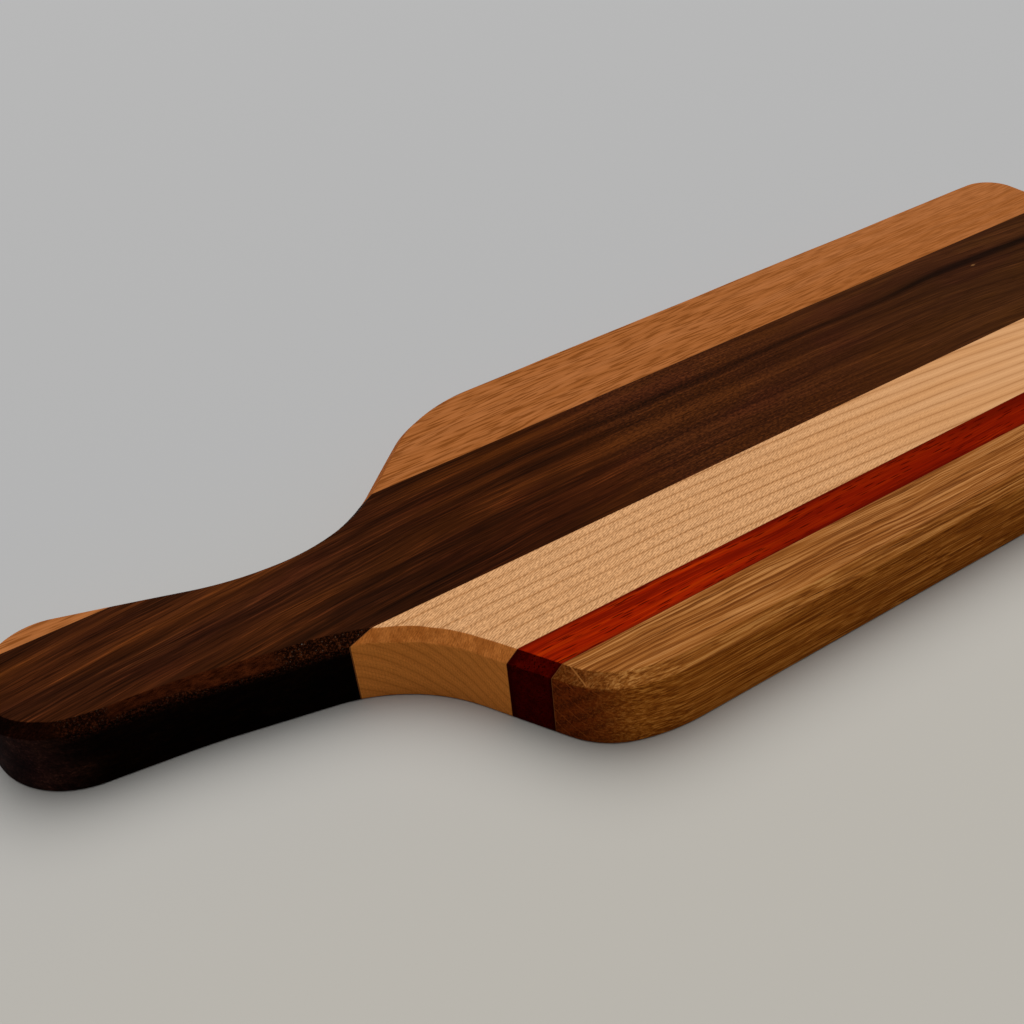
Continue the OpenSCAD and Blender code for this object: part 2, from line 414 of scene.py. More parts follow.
class Nodes:
    """Shorthand for building the node tree of one material."""

    # Places of the share and the two colours among a mix node's inputs, and of its result
    MIX_SOCKETS = (0, 6, 7)
    MIX_RESULT = 2
    # How far up a face looks where the chamfer's painted shade sets in and where the upright side begins,
    # and how far it looks along the board from the first end grain to full end grain
    EDGE_TURN = (0.98, 0.8)
    SIDE_TURN = (0.6, 0.3)
    END_GRAIN_TURN = (0.25, 0.9)
    FIBRE_ROUGHNESS = 0.62

    def __init__(self, name):
        """A material with nothing in it but its shader and its output."""
        self.material = bpy.data.materials.new(name)
        self.material.use_nodes = True
        self.tree = self.material.node_tree
        self.tree.nodes.clear()
        self.output = self.tree.nodes.new("ShaderNodeOutputMaterial")
        self.shader = self.tree.nodes.new("ShaderNodeBsdfPrincipled")
        self.tree.links.new(self.shader.outputs[0], self.output.inputs["Surface"])

    def node(self, kind, values=(), **settings):
        """A node with its settings, and with values or links in its sockets by place or name."""
        node = self.tree.nodes.new(kind)
        for key, value in settings.items():
            setattr(node, key, value)
        pairs = values.items() if isinstance(values, dict) else enumerate(values)
        for key, value in pairs:
            if value is None:
                continue
            if isinstance(value, bpy.types.NodeSocket):
                self.tree.links.new(value, node.inputs[key])
            else:
                node.inputs[key].default_value = value
        return node

    def math(self, operation, *values):
        """One step of arithmetic on values or links."""
        return self.node("ShaderNodeMath", values, operation=operation).outputs[0]

    def add(self, *values):
        """Sum of two or more values."""
        total = values[0]
        for value in values[1:]:
            total = self.math("ADD", total, value)
        return total

    def size(self, value):
        """A value without its sign."""
        return self.math("ABSOLUTE", value)

    def times(self, a, b):
        """Product of two values."""
        return self.math("MULTIPLY", a, b)

    def minus(self, a, b):
        """The first value less the second."""
        return self.math("SUBTRACT", a, b)

    def step(self, value, low, high, to_low=0.0, to_high=1.0):
        """Smooth step of a value from low to high."""
        return self.node(
            "ShaderNodeMapRange", (value, low, high, to_low, to_high), interpolation_type="SMOOTHSTEP"
        ).outputs[0]

    def window(self, value, rise, fall):
        """Product of two smooth steps of a value, one up where it starts and one down where it ends."""
        return self.times(self.step(value, *rise), self.step(value, *fall))

    def near(self, value, centre, outer, inner):
        """1 where a value lies within inner of a centre, fading to 0 at outer."""
        return self.step(self.size(self.minus(value, centre)), outer, inner)

    def vector(self, x, y, z):
        """One vector of three values."""
        return self.node("ShaderNodeCombineXYZ", (x, y, z)).outputs[0]

    def stretched(self, parts, rates):
        """One vector of three values, each multiplied by its rate."""
        return self.vector(*(self.times(part, rate) for part, rate in zip(parts, rates)))

    def noise(self, vector, scale=1.0, detail=2.0, roughness=0.5):
        """Cloudy noise from 0 to 1, about one cell in each unit over the scale."""
        values = {"Vector": vector, "Scale": scale, "Detail": detail, "Roughness": roughness}
        return self.node("ShaderNodeTexNoise", values, noise_dimensions="3D").outputs[0]

    def cells(self, vector, scale=1.0):
        """Distance to the nearest point of a scattered set."""
        values = {"Vector": vector, "Scale": scale}
        return self.node("ShaderNodeTexVoronoi", values, voronoi_dimensions="3D").outputs[0]

    def waver(self, x, y, z, rate, height):
        """A slow wander of the grain, in millimetres, four times as quick across as along."""
        slow = self.stretched((x, y, z), (rate, rate * 4, rate * 4))
        return self.times(self.minus(self.noise(slow, 1.0, 2.0), 0.5), height)

    def fibre(self, x, across, z, along, rate, detail):
        """Noise drawn out along the grain."""
        drawn_out = self.stretched((x, across, z), (along, rate, rate))
        return self.noise(drawn_out, 1.0, detail, self.FIBRE_ROUGHNESS)

    def growth_line(self, ring, rate, width):
        """One thin line in each turn of a ring count."""
        return self.near(self.math("FRACT", self.times(ring, rate)), 0.5, width, 0.0)

    def mix(self, share, first, second, blend="MIX"):
        """The first colour, changed by a share towards its blend with the second."""
        node = self.tree.nodes.new("ShaderNodeMix")
        node.data_type = "RGBA"
        node.blend_type = blend
        for key, value in zip(self.MIX_SOCKETS, (share, first, second)):
            if isinstance(value, bpy.types.NodeSocket):
                self.tree.links.new(value, node.inputs[key])
            else:
                node.inputs[key].default_value = value if key == self.MIX_SOCKETS[0] else colour4(value)
        return node.outputs[self.MIX_RESULT]

    def tint(self, share, colour, factors):
        """A colour multiplied by three factors, by a share."""
        return self.mix(share, colour, factors, blend="MULTIPLY")

    def bump(self, height, distance):
        """A normal that leans with the slope of a height, whose 1 stands for a distance in metres."""
        return self.node("ShaderNodeBump", {"Height": height, "Distance": distance}).outputs[0]

    def coordinates(self):
        """Object coordinates x, y and z in millimetres. It also keeps which way the face looks."""
        place = self.node("ShaderNodeTexCoord")
        in_mm = self.node("ShaderNodeVectorMath", (place.outputs["Object"],), operation="SCALE")
        in_mm.inputs["Scale"].default_value = 1 / MM
        apart = self.node("ShaderNodeSeparateXYZ", (in_mm.outputs[0],))
        facing = self.node("ShaderNodeSeparateXYZ", (place.outputs["Normal"],))
        self.facing_x, self.facing_z = facing.outputs[0], facing.outputs[2]
        return apart.outputs

    def paint_light_and_shade_by_facing(self, colour, chamfer, side):
        """Painted light and shade by which way a face looks: one tint on the chamfer, another on the
        upright sides.
        """
        turned = self.size(self.facing_z)
        tint = self.mix(self.step(turned, *self.SIDE_TURN), chamfer, side)
        return self.tint(self.step(turned, *self.EDGE_TURN), colour, tint)

    def end_grain(self):
        """Share of end grain: how far the surface faces along the fibres."""
        return self.step(self.size(self.facing_x), *self.END_GRAIN_TURN)

    def finish(self, colour, roughness, normal=None, specular=0.006):
        """The material, with its colour, its roughness and any normal linked to the shader."""
        links, sockets = self.tree.links, self.shader.inputs
        links.new(colour, sockets["Base Color"])
        links.new(roughness, sockets["Roughness"])
        if normal is not None:
            links.new(normal, sockets["Normal"])
        sockets["Specular IOR Level"].default_value = specular
        return self.material


def colour4(value):
    """A colour with its alpha."""
    return (*tuple(value)[:3], 1.0)


def scaled(colour, factor):
    """A colour made lighter or darker, in linear values."""
    return tuple(min(1.0, part * factor) for part in tuple(colour)[:3])


# Depth of the grain in the woods and the glue, in metres
FINE_GRAIN = 0.00008
OPEN_GRAIN = 0.0001
GLUE_GRAIN = 0.00002


# In the woods, places along, across and up are in millimetres, rates are cells in each
# millimetre, and tints are factors of red, green and blue.
def beech_wood(colours):
    """Beech: plain orange brown with rows of short dark ray flecks along the grain."""
    g = Nodes("Oiled beech")
    x, y, z = g.coordinates()
    across = g.add(y, g.times(x, -0.012), g.waver(x, y, z, 0.012, 7.0))
    bands = g.fibre(x, across, z, 0.01, 0.3, 2.0)
    fibres = g.fibre(x, across, z, 0.1, 1.9, 3.0)

    flecks = g.noise(g.stretched((x, across, z), (0.12, 1.6, 1.6)), 1.0, 0.5)
    fleck = g.times(g.step(flecks, 0.54, 0.64), g.step(bands, 0.3, 0.55, 0.8, 1.0))
    fleck = g.times(fleck, g.step(x, 170.0, 10.0, 0.4, 1.0))
    pale = g.step(flecks, 0.47, 0.34)

    colour = g.mix(g.times(g.step(bands, 0.36, 0.64), 0.7), colours.beech_light, colours.beech)
    colour = g.mix(g.times(g.step(fibres, 0.38, 0.62), 0.5), colour, scaled(colours.beech, 0.72))
    colour = g.mix(g.times(pale, 0.4), colour, scaled(colours.beech_light, 1.12))
    colour = g.mix(g.times(fleck, 0.85), colour, colours.beech_dark)
    # Painted shade on the chamfer and, deeper, on the upright sides
    colour = g.paint_light_and_shade_by_facing(colour, (0.9, 0.8, 0.65), (0.85, 0.65, 0.4))
    colour = g.mix(g.times(g.end_grain(), 0.3), colour, scaled(colours.beech_dark, 0.9))
    height = g.add(g.times(fibres, 0.5), g.times(fleck, -0.6))
    roughness = g.add(0.5, g.times(fibres, 0.12), g.times(fleck, 0.1))
    return g.finish(colour, roughness, g.bump(height, FINE_GRAIN))


# Places in the walnut: where its bowed grain runs straight along the board, the dark lines
# along the body and the handle, and a pale chip near the far end
BOW_MIDDLE_X = 12.0
HEART_Y = 25.8
CORE_Y = 13.5
CHIP_X, CHIP_Y = 142.4, 22.0


def walnut_grain(g, colours, x, y, z):
    """Colour, fibres and pores of the walnut.

    The grain bows with the square of the distance from one place along the board. Streaks and fibres of
    four widths follow it, with a dark line along the body and one along the handle, mottled patches across
    the middle of the body that carry a painted satin sheen, and slow shifts of tint along the board that
    carry painted light and shade besides the wood's own tone.
    """
    away = g.times(g.minus(x, BOW_MIDDLE_X), 0.005)
    bow = g.times(g.times(away, away), 13.0)
    across = g.add(y, bow, g.waver(x, y, z, 0.011, 7.0))
    straight = g.minus(across, bow)
    bands = g.fibre(x, across, z, 0.0035, 0.13, 2.0)
    streaks = g.fibre(x, across, z, 0.011, 0.7, 4.0)
    threads = g.fibre(x, across, z, 0.045, 1.4, 2.0)
    fibres = g.fibre(x, across, z, 0.05, 2.1, 4.0)

    on_body = g.step(x, -40.0, 20.0)
    calm = g.times(g.minus(streaks, 0.5), g.add(0.5, g.times(on_body, -0.15)))
    broad = g.times(g.minus(bands, 0.5), g.add(1.0, g.times(on_body, -0.5)))
    heart = g.near(g.add(straight, g.times(bow, 0.25)), HEART_Y, 3.0, 0.0)
    heart = g.times(heart, g.times(g.step(x, -75.0, -40.0), g.step(x, 90.0, 140.0, 1.0, 1.5)))
    # Mottled patches across the middle of the body: the walnut's figure with a painted satin sheen,
    # lighter and darker in turn
    slant = g.add(x, g.times(y, 0.6))
    crosswise = g.minus(y, g.times(x, 0.3))
    mottle_and_sheen = g.noise(g.stretched((slant, crosswise, z), (0.7, 1.3, 1.0)), 1.0, 3.0, 0.6)
    mottle_and_sheen = g.times(g.minus(mottle_and_sheen, 0.5), g.window(x, (-35.0, 0.0), (90.0, 20.0)))
    lift = g.step(x, -50.0, 0.0, 0.0, 0.055)
    tone = g.add(g.times(broad, 0.45), g.times(calm, 0.55), g.times(heart, -0.12))
    tone = g.add(tone, g.times(mottle_and_sheen, 0.45), lift, 0.5)
    colour = g.mix(g.step(tone, 0.38, 0.54), colours.walnut_dark, colours.walnut)
    colour = g.mix(g.times(g.step(tone, 0.5, 0.66), 0.9), colour, colours.walnut_light)

    # Fibres and threads, light and dark, then patches of gold and of purple
    strong = g.add(1.0, g.times(on_body, -0.3))
    colour = g.tint(g.times(g.step(fibres, 0.54, 0.7), strong), colour, (1.95, 1.95, 2.1))
    colour = g.tint(g.times(g.step(fibres, 0.47, 0.34), strong), colour, (0.48, 0.44, 0.44))
    shown = g.step(x, 0.0, -90.0, 0.2, 1.0)
    colour = g.tint(g.times(g.step(threads, 0.55, 0.66), shown), colour, (1.75, 1.7, 1.65))
    colour = g.tint(g.times(g.step(threads, 0.46, 0.34), shown), colour, (0.68, 0.65, 0.65))
    patch = g.noise(g.stretched((x, y, z), (0.02, 0.07, 0.02)), 1.0, 2.0)
    colour = g.tint(g.step(patch, 0.52, 0.64), colour, (1.05, 1.05, 0.88))
    colour = g.tint(g.step(patch, 0.5, 0.38), colour, (0.98, 0.91, 1.08))

    pores = g.cells(g.stretched((x, across, z), (0.1, 2.4, 2.4)))
    pore = g.times(g.step(pores, 0.28, 0.1), g.step(streaks, 0.42, 0.58))
    colour = g.mix(g.times(pore, 0.45), colour, scaled(colours.walnut_dark, 0.6))
    chip = g.add(g.size(g.minus(x, CHIP_X)), g.times(g.size(g.minus(y, CHIP_Y)), 2.5))
    colour = g.mix(g.step(chip, 1.6, 0.6, 0.0, 0.5), colour, colours.maple_dark)

    # Slow tints along the board, the wood's own tone mixed with painted light and shade: darker at the
    # neck, a painted pale blue haze over the far end, warmer at the shoulders and lighter on the handle;
    # then the handle's dark core, a streak in the wood
    neck = g.window(x, (-50.0, -80.0), (-135.0, -95.0, 0.2, 1.0))
    colour = g.tint(neck, colour, (0.74, 0.74, 0.8))
    colour = g.tint(g.step(x, 40.0, 140.0), colour, (0.97, 1.17, 1.23))
    colour = g.tint(g.window(x, (-120.0, -65.0), (0.0, -30.0)), colour, (1.1, 1.0, 0.66))
    colour = g.tint(g.step(x, -95.0, -130.0), colour, (1.3, 1.26, 1.16))
    core = g.times(g.near(straight, CORE_Y, 7.0, 1.5), g.step(x, -95.0, -140.0))
    return g.tint(core, colour, (0.6, 0.62, 0.76)), fibres, pore


def handle_chamfer(g, colours, x, y, z, fibres):
    """Colour and specks of the handle's chamfer: torn grain, sanded smooth in its middle."""
    speck = g.noise(g.vector(x, y, z), 1.5, 4.0, 0.8)
    splinter = g.cells(g.vector(g.times(x, 0.8), y, z), 1.1)
    dark, light = scaled(colours.walnut_dark, 0.6), scaled(colours.walnut_rim, 1.15)
    torn = g.mix(g.step(speck, 0.46, 0.7), dark, light)
    torn = g.mix(g.step(splinter, 0.24, 0.1, 0.0, 0.6), torn, (0.11, 0.07, 0.045))
    torn = g.tint(g.step(x, -135.0, -175.0), torn, (0.54, 0.5, 0.52))

    mottled = g.noise(g.vector(g.times(x, 0.5), y, z), 0.6, 3.0)
    sanded = g.mix(g.step(mottled, 0.35, 0.65), colours.walnut_rim, scaled(colours.walnut_rim, 0.5))
    sanded = g.tint(1.0, sanded, (0.82, 0.68, 0.55))
    sanded = g.tint(g.step(x, -148.0, -160.0), sanded, (0.72, 0.72, 0.74))
    sanded = g.tint(g.step(fibres, 0.5, 0.4), sanded, (0.55, 0.5, 0.5))
    low = g.add(z, g.step(x, -160.0, -150.0, 0.0, 1.2))
    smooth = g.times(g.window(x, (-177.0, -173.5), (-131.0, -139.0)), g.step(low, 19.6, 20.4))
    return g.mix(smooth, torn, sanded), speck


def walnut_wood(colours):
    """Walnut: dark bowed streaks, fine open pores, a rough chamfer on the handle and some dust."""
    g = Nodes("Oiled walnut")
    x, y, z = g.coordinates()
    colour, fibres, pore = walnut_grain(g, colours, x, y, z)
    # Painted shade on the chamfer and the upright sides, the sides near black; at the tip of the handle a
    # painted cool light on the sides and a deeper, bluer painted shade on the chamfer
    side = g.mix(g.step(x, -178.0, -197.0), (0.05, 0.06, 0.05), (0.5, 0.72, 2.2))
    edge = g.mix(g.step(x, -184.0, -191.0), (0.6, 0.55, 0.5), (0.17, 0.16, 0.26))
    colour = g.paint_light_and_shade_by_facing(colour, edge, side)

    turned = g.size(g.facing_z)
    right_side = g.times(g.window(x, (-75.0, -95.0), (-190.0, -185.0)), g.step(y, 16.0, 8.0))
    rim = g.times(right_side, g.times(g.step(turned, 0.95, 0.8), g.step(z, 16.0, 18.6)))
    torn, speck = handle_chamfer(g, colours, x, y, z, fibres)
    colour = g.mix(g.times(rim, 0.9), colour, torn)
    dust = g.step(g.cells(g.vector(x, y, z), 0.14), 0.032, 0.012)
    dust = g.times(dust, g.times(right_side, g.step(turned, 0.85, 0.75)))
    colour = g.mix(dust, colour, (0.15, 0.13, 0.11))
    height = g.add(g.times(fibres, 0.4), g.times(pore, -1.0), g.times(g.times(rim, speck), 6.0))
    roughness = g.add(0.46, g.times(fibres, 0.14), g.times(pore, 0.1), g.times(rim, 0.2))
    return g.finish(colour, roughness, g.bump(height, FINE_GRAIN))


# Growth rings of the maple in each millimetre across them
RING_RATE = 0.265


def maple_wood(colours):
    """Maple: pale, with thin broken growth lines and a fine curl across them.

    The lines bend away with the square of the distance past the neck. The curl is a slanting hatch with
    noise, drawn partly as a painted sheen in its light and dark ripples, and it fades out towards the far
    end.
    """
    g = Nodes("Oiled maple")
    x, y, z = g.coordinates()
    away = g.math("MAXIMUM", g.add(x, 60.0), 0.0)
    bend = g.times(g.times(away, away), 0.00037)
    ring = g.add(y, bend, g.waver(x, y, z, 0.012, 2.6), g.waver(x, y, z, 0.09, 0.5), g.times(z, -0.9))
    fibres = g.fibre(x, g.add(y, bend), z, 0.06, 2.6, 4.0)
    turned = g.size(g.facing_z)
    upright = g.step(turned, *g.SIDE_TURN)
    bevel = g.near(turned, 0.71, 0.2, 0.08)

    broken = g.noise(g.stretched((x, y, z), (0.05, 0.4, 0.4)), 1.0, 2.0)
    line = g.times(g.growth_line(ring, RING_RATE, 0.12), g.step(broken, 0.3, 0.6, 0.45, 1.0))
    line = g.times(line, g.add(1.0, g.times(bevel, -0.92)))
    line = g.times(g.times(line, g.step(x, 110.0, 0.0, 0.6, 0.95)), g.add(1.0, g.times(upright, -0.5)))
    band = g.times(g.growth_line(ring, RING_RATE, 0.5), g.step(x, -60.0, 80.0, 0.2, 0.34))
    faint = g.growth_line(g.add(ring, g.waver(x, y, z, 0.03, 3.0)), 0.83, 0.25)
    faint = g.times(faint, g.step(broken, 0.7, 0.4, 0.1, 0.4))

    ripple = g.minus(g.times(y, 0.92), g.times(x, 0.39))
    along = g.add(g.times(x, 0.92), g.times(y, 0.39))
    hatch = g.growth_line(g.add(ripple, g.waver(x, y, z, 0.35, 1.1)), 1.6, 0.5)
    curl = g.noise(g.stretched((along, ripple, z), (0.7, 2.5, 1.6)), 1.0, 1.0)
    curl = g.add(g.times(hatch, 0.26), g.times(curl, 0.6), 0.07)
    curl = g.times(g.minus(curl, 0.5), g.step(x, 110.0, -40.0, 0.08, 1.0))
    curl = g.times(curl, g.step(turned, 0.6, 0.95, 0.3, 1.0))

    colour = g.mix(g.math("MAXIMUM", band, g.times(faint, 0.8)), colours.maple, colours.maple_dark)
    darker = g.times(g.step(fibres, 0.42, 0.7), g.step(x, 100.0, -20.0, 0.12, 0.3))
    colour = g.mix(darker, colour, scaled(colours.maple, 0.74))
    # The curl's ripples: the maple's figure, with a painted sheen in the light ripples and painted shade
    # in the dark ones, besides their bump
    colour = g.tint(g.step(curl, 0.0, 0.14), colour, (0.72, 0.69, 0.66))
    colour = g.tint(g.step(curl, 0.0, -0.14), colour, (1.22, 1.25, 1.28))
    cloud = g.noise(g.stretched((x, ring, z), (0.012, 0.13, 0.13)), 1.0, 1.0)
    cloud = g.times(g.step(cloud, 0.42, 0.6), g.step(x, -20.0, 80.0, 0.3, 1.0))
    colour = g.tint(cloud, colour, (0.96, 0.92, 0.86))
    colour = g.tint(line, colour, (0.66, 0.56, 0.44))
    blotch = g.step(g.noise(g.vector(x, y, z), 0.3, 3.0, 0.6), 0.4, 0.62)
    colour = g.tint(g.times(bevel, blotch), colour, (0.78, 0.72, 0.62))
    # Painted shade on the chamfer and the upright sides, deepest in blue
    colour = g.paint_light_and_shade_by_facing(colour, (0.85, 0.53, 0.24), (1.01, 0.65, 0.26))
    height = g.add(g.times(fibres, 0.4), g.times(curl, -3.0), g.times(line, -0.2))
    roughness = g.add(0.46, g.times(fibres, 0.12))
    return g.finish(colour, roughness, g.bump(height, FINE_GRAIN))


def padauk_wood(colours):
    """Padauk: orange red with darker ribbons and short dark pores along the grain.

    It is darker along both joints, along the maple's side near the far end, and from the
    middle of the board on.
    """
    g = Nodes("Oiled padauk")
    x, y, z = g.coordinates()
    across = g.add(y, g.waver(x, y, z, 0.012, 4.0))
    bands = g.fibre(x, across, z, 0.01, 0.42, 3.0)
    fibres = g.fibre(x, across, z, 0.05, 3.0, 3.0)
    pores = g.cells(g.stretched((x, across, z), (0.13, 1.7, 1.7)))
    pore = g.times(g.step(pores, 0.36, 0.16), g.step(bands, 0.34, 0.5))
    rim = g.math("MAXIMUM", g.step(y, -43.6, -41.8), g.step(y, -51.2, -52.4))
    far = g.times(g.step(x, 30.0, 90.0), g.step(y, -46.5, -43.5))

    colour = g.mix(g.step(bands, 0.34, 0.5, 0.45, 1.0), colours.padauk_dark, colours.padauk)
    light = g.times(g.step(bands, 0.48, 0.66), g.step(x, 60.0, -60.0, 0.35, 1.0))
    colour = g.mix(light, colour, colours.padauk_light)
    colour = g.mix(g.times(g.step(fibres, 0.46, 0.68), 0.6), colour, scaled(colours.padauk, 0.5))
    colour = g.mix(g.times(g.step(fibres, 0.46, 0.32), 0.5), colour, scaled(colours.padauk_light, 1.2))
    colour = g.mix(g.times(pore, 0.85), colour, scaled(colours.padauk_dark, 0.45))
    colour = g.mix(g.times(g.math("MAXIMUM", rim, far), 0.6), colour, scaled(colours.padauk_dark, 0.8))
    colour = g.mix(g.step(x, -35.0, 0.0, 0.0, 0.36), colour, scaled(colours.padauk_dark, 0.7))
    # Painted shade on the chamfer and the upright sides, near black
    colour = g.paint_light_and_shade_by_facing(colour, (0.22, 0.08, 0.1), (0.16, 0.04, 0.1))
    height = g.add(g.times(fibres, 0.4), g.times(pore, -1.0))
    roughness = g.add(0.44, g.times(fibres, 0.14))
    return g.finish(colour, roughness, g.bump(height, OPEN_GRAIN), specular=0.002)


# The pale nick on the oak's corner: where it starts on the top face, and how it leans
NICK_X, NICK_Y = -77.95, -54.6
NICK_LEAN = -0.11


def oak_end(g, colours, x, y, z):
    """Colour and pores of the oak's end grain: growth rings, pores and broken pale rays."""
    slope, rise = g.minus(y, z), g.add(y, z)
    ring = g.growth_line(g.add(rise, g.waver(x, y, z, 0.1, 2.4)), 0.17, 0.42)
    dots = g.cells(g.vector(x, y, z), 1.5)
    rough = g.noise(g.vector(x, y, z), 1.3, 3.0, 0.75)
    gaps = g.noise(g.stretched((x, slope, rise), (0.2, 0.4, 0.25)), 1.0, 1.0)
    rays = g.growth_line(g.add(slope, g.waver(x, y, z, 0.06, 1.4)), 0.22, 0.07)
    rays = g.times(rays, g.step(gaps, 0.42, 0.56))

    colour = g.mix(g.times(ring, 0.75), scaled(colours.oak, 0.74), scaled(colours.oak_dark, 0.5))
    colour = g.mix(g.step(rough, 0.5, 0.64, 0.0, 0.75), colour, scaled(colours.oak, 1.05))
    colour = g.mix(g.step(rough, 0.5, 0.36, 0.0, 0.85), colour, scaled(colours.oak_dark, 0.45))
    colour = g.mix(g.times(g.step(dots, 0.28, 0.12), 0.6), colour, scaled(colours.oak_light, 0.9))
    colour = g.mix(g.times(rays, 0.85), colour, scaled(colours.oak_light, 0.9))
    return g.tint(1.0, colour, (0.74, 0.52, 0.46)), dots


def oak_wood(colours):
    """Oak: strong long streaks of open grain, end grain round the corner and a pale nick there."""
    g = Nodes("Oiled oak")
    x, y, z = g.coordinates()
    end = g.end_grain()
    across = g.add(y, g.times(x, 0.02), g.waver(x, y, z, 0.014, 5.0))
    streaks = g.fibre(x, g.add(across, g.waver(x, y, z, 0.08, 1.2)), z, 0.02, 1.9, 4.0)
    fibres = g.fibre(x, across, z, 0.05, 3.2, 4.0)
    pores = g.cells(g.stretched((x, across, z), (0.08, 1.9, 1.9)))
    pore = g.times(g.step(pores, 0.32, 0.1), g.step(streaks, 0.58, 0.42))

    colour = g.mix(g.step(streaks, 0.38, 0.52, 0.1, 1.0), colours.oak_dark, colours.oak)
    colour = g.mix(g.step(streaks, 0.5, 0.66), colour, colours.oak_light)
    colour = g.mix(g.times(g.step(fibres, 0.45, 0.7), 0.5), colour, colours.oak_dark)
    colour = g.mix(g.times(g.step(fibres, 0.5, 0.3), 0.4), colour, colours.oak_light)
    colour = g.mix(g.times(pore, 0.6), colour, scaled(colours.oak_dark, 0.7))
    end_colour, dots = oak_end(g, colours, x, y, z)
    colour = g.mix(g.times(end, 0.9), colour, end_colour)
    nick = g.near(x, g.add(NICK_X, g.times(g.add(y, -NICK_Y), NICK_LEAN)), 0.2, 0.06)
    nick = g.times(nick, g.window(y, (-53.8, -54.6), (-60.4, -59.4)))
    nick = g.times(nick, g.step(z, 18.4, 19.2, 0.0, 0.75))
    colour = g.mix(nick, colour, scaled(colours.oak_light, 1.15))
    # Lighter towards the near end: a slow tint, partly the wood's own tone and partly painted light
    colour = g.tint(g.step(x, 20.0, -20.0), colour, (1.05, 1.06, 1.03))
    # Painted light and shade by facing: on long grain a painted light on the chamfer and a warmer painted
    # tone on the sides, on end grain painted shade on both
    edge = g.mix(end, (1.25, 1.24, 1.07), (0.32, 0.13, 0.02))
    side = g.mix(end, (1.27, 1.1, 0.61), (0.88, 0.6, 0.46))
    colour = g.paint_light_and_shade_by_facing(colour, edge, side)
    height = g.add(g.times(fibres, 0.6), g.times(streaks, 0.4), g.times(pore, -0.8))
    height = g.add(height, g.times(end, g.times(dots, -0.6)))
    roughness = g.add(0.5, g.times(fibres, 0.14))
    return g.finish(colour, roughness, g.bump(height, OPEN_GRAIN))


def dried_glue(colours):
    """A thin dark line of dried glue, a little glossier than the wood."""
    g = Nodes("Dried glue")
    x, y, z = g.coordinates()
    stain = g.noise(g.vector(g.times(x, 0.2), y, g.times(z, 0.6)), 1.0, 3.0)
    colour = g.mix(stain, colours.glue, scaled(colours.glue, 0.5))
    roughness = g.add(0.35, g.times(stain, 0.2))
    return g.finish(colour, roughness, g.bump(stain, GLUE_GRAIN))


def sizes_and_colours(context):
    """The two property groups of the scene."""
    return context.scene.board_sizes, context.scene.board_colours


def make_strip(sizes, name, material, low_y, high_y, beyond=None):
    """A strip between two lines, each moved in by half a glue film where it is a joint."""
    glue = sizes.glue_thickness / MM / 2
    points, faces = strip_surface(sizes, low_y + glue, high_y - glue, beyond)
    add_piece(name + "_wood", points, faces, material, name)


class BOARD_OT_beech(bpy.types.Operator):
    """Makes the beech strip and the sliver of it on the handle"""

    bl_idname = "board.beech"
    bl_label = "Beech strip"

    def execute(self, context):
        sizes, colours = sizes_and_colours(context)
        joint, edge = joint_lines(sizes)[0], sizes.board_width / MM
        wood = beech_wood(colours)
        make_strip(sizes, "beech_strip", wood, joint, edge, beyond=1)
        make_strip(sizes, "handle_beech_tip", wood, joint, edge, beyond=-1)
        return {"FINISHED"}


class BOARD_OT_walnut(bpy.types.Operator):
    """Makes the walnut strip, whose end is the handle"""

    bl_idname = "board.walnut"
    bl_label = "Walnut strip"

    def execute(self, context):
        sizes, colours = sizes_and_colours(context)
        joints = joint_lines(sizes)
        make_strip(sizes, "walnut_strip", walnut_wood(colours), joints[1], joints[0])
        return {"FINISHED"}


class BOARD_OT_maple(bpy.types.Operator):
    """Makes the maple strip"""

    bl_idname = "board.maple"
    bl_label = "Maple strip"

    def execute(self, context):
        sizes, colours = sizes_and_colours(context)
        joints = joint_lines(sizes)
        make_strip(sizes, "maple_strip", maple_wood(colours), joints[2], joints[1])
        return {"FINISHED"}


class BOARD_OT_padauk(bpy.types.Operator):
    """Makes the narrow padauk strip"""

    bl_idname = "board.padauk"
    bl_label = "Padauk strip"

    def execute(self, context):
        sizes, colours = sizes_and_colours(context)
        joints = joint_lines(sizes)
        make_strip(sizes, "padauk_strip", padauk_wood(colours), joints[3], joints[2])
        return {"FINISHED"}


class BOARD_OT_oak(bpy.types.Operator):
    """Makes the oak strip along the right side"""

    bl_idname = "board.oak"
    bl_label = "Oak strip"

    def execute(self, context):
        sizes, colours = sizes_and_colours(context)
        edge = -sizes.board_width / MM
        make_strip(sizes, "oak_strip", oak_wood(colours), edge, joint_lines(sizes)[3])
        return {"FINISHED"}


class BOARD_OT_glue(bpy.types.Operator):
    """Makes the glue films that show as thin dark lines between the strips"""

    bl_idname = "board.glue"
    bl_label = "Glue films"

    def execute(self, context):
        sizes, colours = sizes_and_colours(context)
        glue = dried_glue(colours)
        half = sizes.glue_thickness / MM / 2
        films = (
            ("glue_beech_walnut", 0, 1),
            ("glue_handle_tip", 0, -1),
            ("glue_walnut_maple", 1, None),
            ("glue_maple_padauk", 2, None),
            ("glue_padauk_oak", 3, None),
        )
        for name, k, beyond in films:
            joint = joint_lines(sizes)[k]
            points, faces = strip_surface(sizes, joint - half, joint + half, beyond)
            add_piece(name + "_film", points, faces, glue, name)
        return {"FINISHED"}


def aim(thing, position, right, down, forward):
    """Stands a camera or lamp at a position with its axes along the given directions."""
    axes = Matrix((right, [-part for part in down], [-part for part in forward])).transposed()
    thing.matrix_world = Matrix.Translation(position) @ axes.to_4x4()


